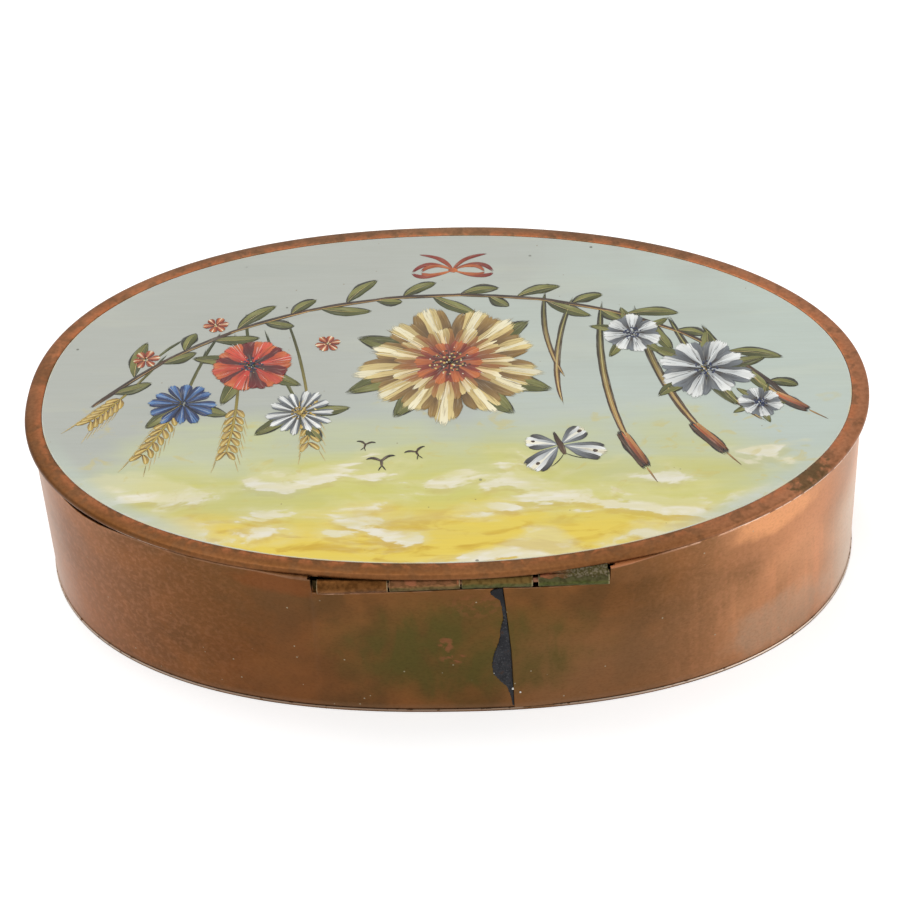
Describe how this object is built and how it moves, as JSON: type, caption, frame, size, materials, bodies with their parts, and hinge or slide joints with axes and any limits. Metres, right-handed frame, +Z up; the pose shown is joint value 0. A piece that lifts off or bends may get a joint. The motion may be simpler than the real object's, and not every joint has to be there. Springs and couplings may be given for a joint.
{
  "type": "trinket box",
  "caption": "Low oval keepsake box bent from copper sheet, with a flat painted lid in a raised copper border that opens on a tube hinge.",
  "frame": {"origin": "on the surface the box stands on, under the middle of the lid", "axes": "+Z up, X along the length of the oval, the front at -Y and the hinge at +Y"},
  "size_m": [0.2, 0.1311, 0.043],
  "materials": {
    "worn_copper": "hand-worked copper sheet, darkened and stained",
    "border_copper": "bare copper border, mottled",
    "base_copper": "flat copper sheet, worn bright at its edge",
    "green_copper": "copper tube with an olive-green patina",
    "tube_copper": "copper tube, brown and part bright",
    "pink_copper": "bright copper wire",
    "grey_solder": "dull grey solder",
    "dark_solder": "dark solder with soot",
    "oil_paint": "brushed paint, blue-grey to yellow-green"
  },
  "bodies": {
    "body": {"base_plate": "base_copper", "base_solder": "grey_solder", "body_wall": "worn_copper", "seam_solder": "dark_solder", "body_knuckle_1": "tube_copper", "body_knuckle_2": "green_copper", "hinge_pin": "pink_copper"},
    "lid": {"lid_sheet": "border_copper", "painted_ground": "oil_paint", "lid_knuckle_1": "green_copper", "lid_knuckle_2": "green_copper"}
  },
  "joints": [
    {"name": "lid_hinge", "type": "hinge", "parent": "body", "child": "lid", "pos_m": [-0.0051, 0.0634, 0.0396], "axis": [-0.9995, -0.0314, 0], "range_deg": [0, 100]}
  ]
}
